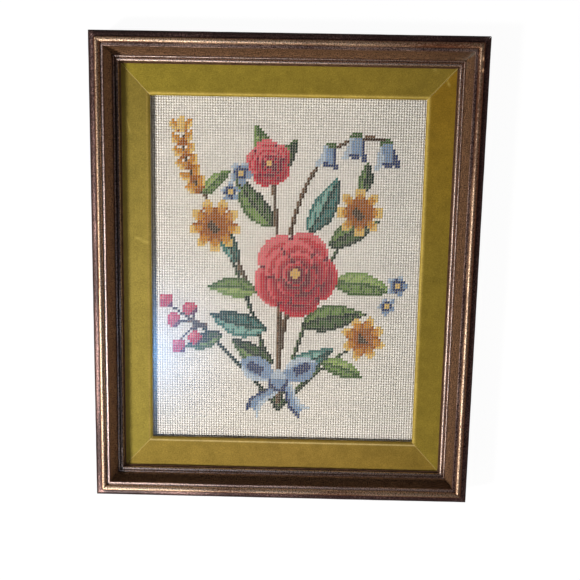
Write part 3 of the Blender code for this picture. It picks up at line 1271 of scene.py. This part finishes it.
    def draw(self) -> None:
        """Work the whole spray, from the stems to the bow."""
        foot = self.foot
        for knots, breadth, skein in (
            ([foot, (49, 40), (58, 62)], 2.6, Skein.TWIG),
            ([foot, (44, 46), (26, 84)], 2.0, Skein.STALK),
            ([foot, (60, 48), (80, 90)], 2.0, Skein.STALK),
            ([foot, (52, 76), (46, 112)], 2.2, Skein.TWIG),
            ([foot, (66, 28), (84, 40)], 1.8, Skein.STALK),
            ([foot, (36, 30), (18, 46)], 1.8, Skein.STALK),
            ([(55, 82), (64, 124), (93, 117)], 1.8, Skein.TWIG),
            ([(38, 62), (24, 92), (13, 108)], 1.7, Skein.TWIG),
        ):
            self.stem(knots, breadth, skein)
        for skein, x, y, turn, length, bend in (
            (Skein.GREEN, 49, 30, 150, 20, 0.1),
            (Skein.SEA, 54, 28, 24, 21, -0.1),
            (Skein.SEA, 46, 44, 166, 24, 0.12),
            (Skein.GREEN, 60, 46, 10, 26, 0.1),
            (Skein.SPRING, 42, 59, 176, 20, -0.1),
            (Skein.SPRING, 72, 63, -8, 24, 0.1),
            (Skein.GREEN, 48, 84, 128, 24, 0.12),
            (Skein.SEA, 62, 82, 62, 24, -0.1),
            (Skein.GREEN, 70, 77, 26, 22, 0.1),
            (Skein.SEA, 34, 70, 112, 16, 0.1),
            (Skein.SPRING, 45, 105, 104, 18, -0.1),
            (Skein.GREEN, 50, 104, 62, 15, 0.1),
            (Skein.GREEN, 28, 42, 200, 16, 0.1),
            (Skein.SPRING, 68, 31, -18, 18, 0.1),
            (Skein.GREEN, 82, 96, 78, 14, -0.1),
            (Skein.SPRING, 20, 96, 40, 14, 0.1),
        ):
            self.leaf(x, y, turn, length, skein, bend)
        self.ear([(19, 97), (13, 107), (12, 119)], 6, 6.2)
        self.bell(91, 117.5, 8, 11)
        self.bell(80, 120, -4, 10.5)
        self.bell(70, 116, -10, 9.5)
        self.rose(57, 66, 17, 10)
        self.rose(46, 108, 9, 40)
        self.daisy(25, 84, 10.5, 9, 10)
        self.daisy(82, 90, 9.5, 8, 0)
        self.daisy(85, 41, 9.0, 8, 20)
        for x, y, radius, turn in (
            (35, 104, 4.6, 10),
            (31, 97, 3.8, 50),
            (98, 62, 4.4, 0),
            (94, 54, 3.6, 30),
        ):
            self.speedwell(x, y, radius, turn)
        for x, y in ((16, 50), (9, 47), (18, 41), (11, 38.5), (5.5, 54)):
            self.stem([(22, 45), (16, 46), (x, y)], 1.3, Skein.TWIG)
        for x, y in ((15, 51.5), (8.5, 47), (17, 40), (10.5, 36.5), (5.5, 54.5)):
            self.berry(x, y, 2.9)
        self.bow(51, 24, 17)


@dataclass(frozen=True)
class TapestryWool(Finish):
    """Four-ply crewel wool, spun and dyed, worked over canvas.

    It is matte and hairy. Each stitch is a plump grain whose plies catch the light as fine
    slanting ridges.
    """

    name = "crewel_wool"
    ply: float = 0.75
    ply_turn: float = 35.0
    hair: float = 0.35

    def shade(self, add: Adder) -> Node:
        """Build the yarn from each stitch's own shade.

        Args:
            add: Adds a node to the material.

        Returns:
            The shader.
        """
        uv = add("UVMap", uv_map="run")
        place = add("TexCoord").outputs["Object"]
        wool = add("Attribute", attribute_name="wool")
        # Plies twist round the yarn. A band wave at a scale of 1 has a ridge each 0.31 mm
        turn = (0, 0, math.radians(self.ply_turn))
        twist = add("Mapping", {"Vector": uv, "Rotation": turn, "Scale": (1 / MM, 1 / MM, 1)})
        ridges = {"Vector": twist, "Scale": 0.31 / self.ply, "Distortion": 0.6, "Detail": 1.0}
        plies = add("TexWave", ridges).outputs["Fac"]
        fuzz = {"Vector": place, "Scale": 1 / (self.hair * MM), "Detail": 2.0, "Roughness": 0.6}
        hairs = add("TexNoise", fuzz)
        tone = add("MapRange", {0: hairs, 1: 0.3, 2: 0.7, 3: 0.88, 4: 1.1})
        yarn = add("Mix", {0: 1.0, 6: wool, 7: tone}, data_type="RGBA", blend_type="MULTIPLY")
        height = add("Math", {0: hairs, 1: 0.5, 2: plies}, operation="MULTIPLY_ADD")
        bump = add("Bump", {"Height": height, "Strength": 0.45, "Distance": 0.12 * MM})
        matte = {"Roughness": 0.88, "Specular IOR Level": 0.2, "Sheen Weight": 0.15, "Sheen Roughness": 0.5}
        return add("BsdfPrincipled", {"Base Color": yarn, "Normal": bump, **matte})


@dataclass(frozen=True)
class PenelopeCanvas(Finish):
    """Cotton needlepoint canvas, woven ten threads to the inch and stiffened with size.

    It is a cream grid with taupe holes, seen only in the cracks between the stitches. The holes
    are not cut: their darker taupe on the solid sheet is painted shade.
    """

    name = "cotton_canvas_ten_mesh"
    thread: str = "E6E0D2"
    # The hole colour is painted shade, darker than the threads
    hole: str = "B4AC9C"
    pitch: Pair = (2.560, 2.632)

    def shade(self, add: Adder) -> Node:
        """Build the mesh from two waves, one for the threads across and one for those down.

        Args:
            add: Adds a node to the material.

        Returns:
            The shader.
        """
        place = add("TexCoord").outputs["Object"]
        waves = {}
        for direction, pitch in zip("XY", self.pitch):
            # A sine band repeats every pi / 10 units at a scale of 1
            bands = {"Vector": place, "Scale": math.pi / 10 / (pitch * MM), "Distortion": 0.0}
            waves[len(waves)] = add("TexWave", bands, bands_direction=direction).outputs["Fac"]
        threads = add("Math", waves, operation="MAXIMUM")
        # Where the holes are, the colour is painted shade
        weave = add("MapRange", {0: threads, 1: 0.3, 2: 0.7, 3: 0.0, 4: 1.0})
        colour = add("Mix", {0: weave, 6: linear(self.hole), 7: linear(self.thread)}, data_type="RGBA")
        bump = add("Bump", {"Height": weave, "Strength": 0.6, "Distance": 0.4 * MM})
        return add("BsdfPrincipled", {"Base Color": colour, "Roughness": 0.85, "Normal": bump})


@dataclass
class Needlepoint:
    """The stretched canvas and its tent stitches, each one a grain of yarn of its own."""

    plan: Plan = field(default_factory=Plan)
    canvas_inset: float = 22.1 * MM
    canvas_base: float = 5.7 * MM
    canvas_top: float = 6.8 * MM
    canvas_cells: tuple[int, int] = (60, 74)
    yarn_middle: float = 6.85 * MM
    arch: float = 0.22 * MM
    half_length: float = 1.66 * MM
    half_breadth: float = 1.09 * MM
    half_height: float = 0.66 * MM
    lean: float = 55.0
    blocks: int = 4
    seed: int = 7
    # How much each stitch strays: its lean in degrees, its place and height, and its breadth and
    # tone as shares. Rows worked in one sitting share a tone as well
    lean_jitter: float = 2.0
    place_jitter: float = 0.03 * MM
    height_jitter: float = 0.04 * MM
    breadth_jitter: float = 0.04
    tone_jitter: float = 0.035
    row_tone: float = 0.03
    row_pitch: Pair = (26 * MM, 4 * MM)
    row_seed: int = 83
    sag: float = 0.06 * MM
    sag_pitch: float = 22 * MM
    sag_seed: int = 81

    def canvas(self) -> Surface:
        """Build the canvas: an even grid of points, closed underneath and round its edge.

        The top is a grid. It is copied at the canvas's base height, and the two rims are
        joined by a band of faces.

        Returns:
            The closed sheet.
        """
        half = np.array([self.plan.width, self.plan.height]) / 2 - self.canvas_inset
        across = np.linspace(-half[0], half[0], self.canvas_cells[0] + 1)
        up = np.linspace(-half[1], half[1], self.canvas_cells[1] + 1)
        y, x = np.meshgrid(up, across)
        sag = self.sag * ripple(x / self.sag_pitch, y / self.sag_pitch, self.sag_seed)
        top = np.stack([x, y, self.canvas_top + sag], -1)
        low = np.stack([x, y, np.full(x.shape, self.canvas_base)], -1)
        number = np.arange(x.size).reshape(x.shape)
        rim = np.concatenate([number[:-1, 0], number[-1, :-1], number[:0:-1, -1], number[0, :0:-1]])
        following = np.roll(rim, -1)
        band = np.stack([rim + x.size, following + x.size, following, rim], -1)
        faces = [Plan.corners(number), Plan.corners(number)[:, ::-1] + x.size, band]
        return Surface(np.concatenate([top.reshape(-1, 3), low.reshape(-1, 3)]), faces)

    def grain(self) -> tuple[Array, Array, Array, Array]:
        """Work out one stitch as shares of its length, breadth and height.

        It is a pole, three rings of six points and a pole. A ring's radius is the square root
        of 1 less its share of the length squared. Five points of a ring lie on top, where the
        yarn shows, and one lies under it.

        Returns:
            The points' shares, the triangles, the quads, and each ring point's share of a turn.
        """
        rings = np.array([-0.6, 0.0, 0.6])
        angles = np.radians([-15.0, 32.0, 90.0, 148.0, 195.0, 270.0])
        radius = (1 - rings**2) ** 0.4
        size = len(angles)
        along = np.repeat(rings, size)
        across = (radius[:, None] * np.cos(angles)).ravel()
        height = (radius[:, None] * np.sin(angles)).ravel()
        body = np.stack([along, across, height], -1)
        points = np.concatenate([[[-1.0, 0.0, -0.5]], body, [[1.0, 0.0, -0.5]]])
        first = 1 + np.arange(size)
        second = np.roll(first, -1)
        last = first + 2 * size
        start = np.stack([np.zeros(size, int), first, second], -1)
        end = np.stack([np.full(size, len(points) - 1), np.roll(last, -1), last], -1)
        ring = np.stack([first, first + size, second + size, second], -1)
        turns = np.append(angles, angles[0] + 2 * np.pi)
        return points, np.concatenate([start, end]), np.concatenate([ring, ring + size]), turns

    def stitches(self, chart: GardenSpray, rows: slice) -> Surface:
        """Build a block of rows of stitches.

        A grain point at shares a, b and c lies at the stitch's middle, plus a times the half
        length along the lean, plus b times the half breadth across it, and its height is the
        yarn's middle, plus c times the half height, plus an arch of 1 - a squared.

        Args:
            chart: The drawn chart.
            rows: Which rows of the chart are built.

        Returns:
            The stitches' surfaces, each one closed.
        """
        sights = np.array([self.plan.sight_sides, self.plan.sight_ends])
        opening = np.array([self.plan.width, self.plan.height]) - 2 * sights
        pitch = opening / (chart.columns, chart.rows)
        x = (chart.x[rows] - chart.columns / 2).ravel() * pitch[0]
        y = (chart.y[rows] - chart.rows / 2).ravel() * pitch[1]
        count = len(x)
        rng = np.random.default_rng(self.seed + rows.start)
        jog = rng.normal(0, 1, (6, count)).clip(-2, 2)
        lean = np.radians(self.lean + self.lean_jitter * jog[0])
        way = np.stack([np.cos(lean), np.sin(lean)], -1)
        over = np.stack([np.sin(lean), -np.cos(lean)], -1)
        middle = np.stack([x + self.place_jitter * jog[1], y + self.place_jitter * jog[2]], -1)
        shares, triangles, quads, turns = self.grain()
        a, b, c = shares.T
        breadth = self.half_breadth * (1 + self.breadth_jitter * jog[3])
        flat = (
            middle[:, None]
            + self.half_length * a[None, :, None] * way[:, None]
            + breadth[:, None, None] * b[None, :, None] * over[:, None]
        )
        rise = self.yarn_middle + self.half_height * c + self.arch * (1 - a**2)
        height = rise[None] + self.height_jitter * jog[4][:, None]
        points = np.concatenate([flat, height[..., None]], -1).reshape(-1, 3)
        first = len(shares) * np.arange(count)[:, None, None]
        faces = [(group + first).reshape(-1, group.shape[1]) for group in (triangles, quads)]
        shades = np.array([linear(shade.value) for shade in Wool])
        wool = shades[chart.cells[rows].ravel()]
        run, rise = self.row_pitch
        tone = 1 + self.tone_jitter * jog[5] + self.row_tone * ripple(x / run, y / rise, self.row_seed)
        wool[:, :3] *= tone[:, None]
        values = {"wool": np.repeat(wool, len(shares), 0)}
        return Surface(points, faces, self.yarn_uv(shares, triangles, quads, turns, jog[5]), values)

    def yarn_uv(
        self,
        shares: Array,
        triangles: Array,
        quads: Array,
        turns: Array,
        shift: Array,
    ) -> list[Array]:
        """Unroll the yarn: u is the distance along it and v the distance round it.

        Args:
            shares: The grain's points.
            triangles: The grain's end triangles.
            quads: The faces between its rings.
            turns: The angle of each ring point, and of the first one again after a turn.
            shift: A number for each stitch that moves its pattern along, in mm.

        Returns:
            The corners' UV, for the triangles and for the quads.
        """
        around = self.half_breadth * turns
        along = self.half_length * shares[:, 0]
        low, high = around[:-1], around[1:]
        fan = np.stack([(low + high) / 2, low, high], -1)
        belt = np.stack([low, low, high, high], -1)
        offset = np.stack([MM * shift, np.zeros(len(shift))], -1)[:, None, None]
        unrolled = []
        for group, turned in ((triangles, [fan, fan[:, [0, 2, 1]]]), (quads, [belt, belt])):
            uv = np.stack([along[group], np.concatenate(turned)], -1)
            unrolled.append((uv + offset).reshape(-1, group.shape[1], 2))
        return unrolled

    def build(self) -> None:
        chart = GardenSpray()
        chart.draw()
        yarn = TapestryWool().material()
        edges = np.linspace(0, len(chart.cells), self.blocks + 1).astype(int)
        for number, (low, high) in enumerate(zip(edges[:-1], edges[1:])):
            rows = self.stitches(chart, slice(low, high))
            add_piece(f"tent_stitches_{number + 1}", rows, yarn)
        cloth = PenelopeCanvas().material()
        sheet = self.canvas()
        canvas = add_piece("canvas", sheet, cloth, ("needlepoint",), sharp=40)


@dataclass(frozen=True)
class FloatGlass(Finish):
    """A pane of 2 mm float glass, cut and cleaned.

    It is clear, and mirrors what is bright in front of it, more so at a grazing angle.
    """

    name = "float_glass_clear"
    tint: str = "FFFFFF"

    def shade(self, add: Adder) -> Node:
        """Build a clear pane that passes light straight through, mixed with its own mirror.

        Args:
            add: Adds a node to the material.

        Returns:
            The shader.
        """
        clear = add("BsdfTransparent", {"Color": linear(self.tint)})
        mirror = add("BsdfGlossy", {"Color": linear(self.tint), "Roughness": 0.0})
        # The mirror share is 0.04 face on, plus 0.96 times (1 - cosine) to the power 5
        grazing = add("LayerWeight", {"Blend": 0.5}).outputs["Facing"]
        steep = add("Math", {0: grazing, 1: 5.0}, operation="POWER")
        share = add("MapRange", {0: steep, 3: 0.04, 4: 1.0})
        return add("MixShader", {0: share, 1: clear, 2: mirror})


@dataclass(frozen=True)
class Hardboard(Finish):
    """Brown hardboard, wood fibre pressed hot against a steel plate.

    It is smooth and dull, with pale and dark fibres lying every way.
    """

    name = "hardboard_pressed"
    board: str = "6E5238"
    fibre: str = "94744F"
    spacing: float = 1.4

    def shade(self, add: Adder) -> Node:
        """Build the board from one noise for its fibres.

        Args:
            add: Adds a node to the material.

        Returns:
            The shader.
        """
        place = add("TexCoord").outputs["Object"]
        felt = {"Detail": 5.0, "Roughness": 0.75, "Distortion": 1.2}
        fibres = add("TexNoise", {"Vector": place, "Scale": 1 / (self.spacing * MM), **felt})
        share = add("MapRange", {0: fibres, 1: 0.42, 2: 0.68, 3: 0.0, 4: 1.0})
        colour = add("Mix", {0: share, 6: linear(self.board), 7: linear(self.fibre)}, data_type="RGBA")
        bump = add("Bump", {"Height": fibres, "Strength": 0.3, "Distance": 0.1 * MM})
        return add("BsdfPrincipled", {"Base Color": colour, "Roughness": 0.6, "Normal": bump})


@dataclass
class Backing:
    """The two flat CAD pieces that keep their own shape: the glass and the backing board."""

    def build(self) -> None:
        """Give each node its finish."""
        for node, finish in (("glass", FloatGlass()), ("backing_board", Hardboard())):
            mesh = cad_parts[node].data
            mesh.materials.clear()
            mesh.materials.append(finish.material())
            LOG.info("%s: CAD node, dressed", node)


@dataclass(frozen=True)
class Lamp:
    """One soft rectangular light, facing the middle of the frame's back.

    Attributes:
        name: The light's name.
        place: Where it hangs.
        size: Its width and height.
        watts: Its power.
        mirrored: Whether it gives only highlights, or else only even light.
        colour: Its colour, as sRGB hex.
    """

    name: str
    place: tuple[float, float, float]
    size: Pair
    watts: float
    mirrored: bool = True
    colour: str = "FFFFFF"

    def hang(self) -> None:
        """Hang the light in its place."""
        light = bpy.data.lights.new(self.name, "AREA")
        light.shape = "RECTANGLE"
        light.size, light.size_y = self.size
        light.energy = self.watts
        light.color = linear(self.colour)[:3]
        lamp = put(self.name, light)
        lamp.location = self.place
        lamp.rotation_euler = (-Vector(self.place)).to_track_quat("-Z", "Y").to_euler()
        lamp.visible_camera = False
        lamp.visible_glossy = self.mirrored
        lamp.visible_diffuse = not self.mirrored


# The highlights of a broad window at the left, in patches because its brightness is uneven
WINDOW = (
    Lamp("window_left", (-1.112, -0.298, 1.111), (0.4, 0.4), 5.7),
    Lamp("window_left_high", (-1.061, 0.0, 1.061), (0.4, 0.4), 1.0),
    Lamp("window_upper", (-0.93, -0.45, 1.15), (0.3, 0.3), 2.0),
    Lamp("window_upper_right", (-0.81, -0.12, 1.04), (0.3, 0.3), 0.7),
    Lamp("window_foot", (-1.042, -0.73, 0.795), (0.5, 0.5), 1.0),
    Lamp("window_head", (-1.042, 0.73, 0.795), (0.5, 0.5), 2.2),
    Lamp("wall_left", (-1.31, -0.696, 0.599), (0.5, 0.4), 2.4),
    Lamp("room_below", (-0.629, -1.235, 0.8), (0.5, 0.5), 8.2),
    Lamp("room_below_high", (-0.45, -1.0, 1.1), (0.3, 0.3), 1.45),
    Lamp("room_above", (-0.232, 1.09, 1.004), (0.6, 0.5), 0.3),
)
KEY = Lamp("key", (-1.18, -0.52, 1.15), (0.16, 0.16), 40.0, False, "FFFBF8")
BOUNCE = Lamp("bounce", (1.3, -0.4, 0.3), (0.8, 0.4), 15.0, False, "FFF4EA")
BOUNCE_TOP = Lamp("bounce_top", (0.1, 1.4, 0.3), (0.8, 0.4), 3.0, False, "F4F6FF")


@dataclass(frozen=True)
class StudioPaper(Finish):
    """White paper, lit evenly from behind so that it stays white under the frame."""

    name = "studio_paper_white"
    paper: str = "404040"
    glow: str = "FFFFFF"
    strength: float = 0.955

    def shade(self, add: Adder) -> Node:
        """Add one shader that reflects a little and glows evenly.

        Args:
            add: Adds a node to the material.

        Returns:
            The shader.
        """
        paper = {"Base Color": linear(self.paper), "Roughness": 0.9}
        light = {"Emission Color": linear(self.glow), "Emission Strength": self.strength}
        return add("BsdfPrincipled", {**paper, **light})


@dataclass(frozen=True)
class WindowGlow(Finish):
    """Pale blue window light, fading out from its middle along the card's own x and y."""

    name = "window_card_blue"
    colour: str = "7ABDFF"
    middle: tuple[float, ...] = (-0.345, -0.293, 0.900)
    reach: tuple[float, ...] = (0.40, 0.47, 1.0)
    falloff: float = 4.0
    strength: float = 9.0

    def shade(self, add: Adder) -> Node:
        """Build the light as a ball of brightness, stretched to its reach.

        Args:
            add: Adds a node to the material.

        Returns:
            The shader.
        """
        place = add("TexCoord").outputs["Object"]
        shift = tuple(-m / r for m, r in zip(self.middle, self.reach))
        scale = tuple(1 / r for r in self.reach)
        space = add("Mapping", {"Vector": place, "Location": shift, "Scale": scale})
        ball = add("TexGradient", {"Vector": space}, gradient_type="SPHERICAL").outputs["Fac"]
        fade = add("Math", {0: ball, 1: self.falloff}, operation="POWER")
        bright = add("Math", {0: fade, 1: self.strength}, operation="MULTIPLY")
        return add("Emission", {"Color": linear(self.colour), "Strength": bright})


@dataclass
class Studio:
    """The floor, the lights and the camera, none of them part of the object."""

    floor_half: float = 4.0
    floor_drop: float = 0.2 * MM
    # How far the card reaches left of its middle and below it. It ends where the glass no
    # longer mirrors it, so that the moulding sees less of it
    card_left: float = 0.02
    card_low: float = 0.23
    eye: tuple[float, float, float] = (11.7 * MM, 68.8 * MM, 666.9 * MM)
    forward: tuple[float, float, float] = (-0.0097, -0.1286, -0.9917)
    up: tuple[float, float, float] = (-0.0206, 0.9915, -0.1283)
    focal_pixels: float = 650.0
    image_pixels: float = 580.0
    sensor: float = 36.0
    clip: Pair = (0.01, 20.0)
    sky: str = "F2F4FA"
    sky_strength: float = 0.06

    def panel(self, name: str, finish: Finish, corners: list[tuple[float, ...]]) -> bpy.types.Object:
        """Make a flat panel of four corners.

        Args:
            name: Its name.
            finish: What it is made of.
            corners: Its corners in order, each one's x, y and z.

        Returns:
            The panel.
        """
        mesh = Surface(np.array(corners), [np.array([[0, 1, 2, 3]])]).mesh(name)
        mesh.materials.append(finish.material())
        return put(name, mesh)

    def floor(self) -> None:
        """Lay a plain white floor just under the frame."""
        half, low = self.floor_half, -self.floor_drop
        corners = [(-half, -half, low), (half, -half, low), (half, half, low), (-half, half, low)]
        floor = self.panel("floor", StudioPaper(), corners)
        floor.visible_glossy = False

    def window_card(self) -> None:
        """Hang the pale blue card that the glass mirrors at its lower left, facing down."""
        glow = WindowGlow()
        x, y, z = glow.middle
        left, right = x - self.card_left, x + glow.reach[0]
        low, high = y - self.card_low, y + glow.reach[1]
        corners = [(left, high, z), (right, high, z), (right, low, z), (left, low, z)]
        card = self.panel("window_card", glow, corners)
        card.visible_camera = False
        card.visible_diffuse = False
        card.visible_shadow = False

    def world(self) -> None:
        """Fill the shadows with a dim even light from all round."""
        world = bpy.data.worlds.new("soft_fill")
        world.use_nodes = True
        tree = world.node_tree
        tree.nodes.clear()
        sky = add_node(tree, "Background", {"Color": linear(self.sky), "Strength": self.sky_strength})
        add_node(tree, "OutputWorld", {"Surface": sky})
        bpy.context.scene.world = world

    def camera(self) -> None:
        """Set the camera at the photo's angle to the picture's face."""
        forward = Vector(self.forward).normalized()
        right = forward.cross(Vector(self.up)).normalized()
        up = right.cross(forward)
        data = bpy.data.cameras.new("camera")
        data.sensor_width = self.sensor
        data.lens = self.focal_pixels / self.image_pixels * self.sensor
        data.clip_start, data.clip_end = self.clip
        camera = put("camera", data)
        turn = Matrix((right, up, -forward)).transposed()
        camera.matrix_world = Matrix.Translation(self.eye) @ turn.to_4x4()
        bpy.context.scene.camera = camera

    def build(self) -> None:
        """Set up the whole studio."""
        self.floor()
        for lamp in (KEY, BOUNCE, BOUNCE_TOP, *WINDOW):
            lamp.hang()
        self.window_card()
        self.world()
        self.camera()
        bpy.context.scene.view_settings.view_transform = "Standard"
        LOG.info("studio: floor, lights and camera")


def main() -> None:
    """Build every sub-assembly in order, then the studio."""
    logging.basicConfig(level=logging.INFO, format="%(name)s %(message)s")
    Moulding().build()
    VelvetLiner().build()
    Needlepoint().build()
    Backing().build()
    Studio().build()


if __name__ == "__main__":
    main()
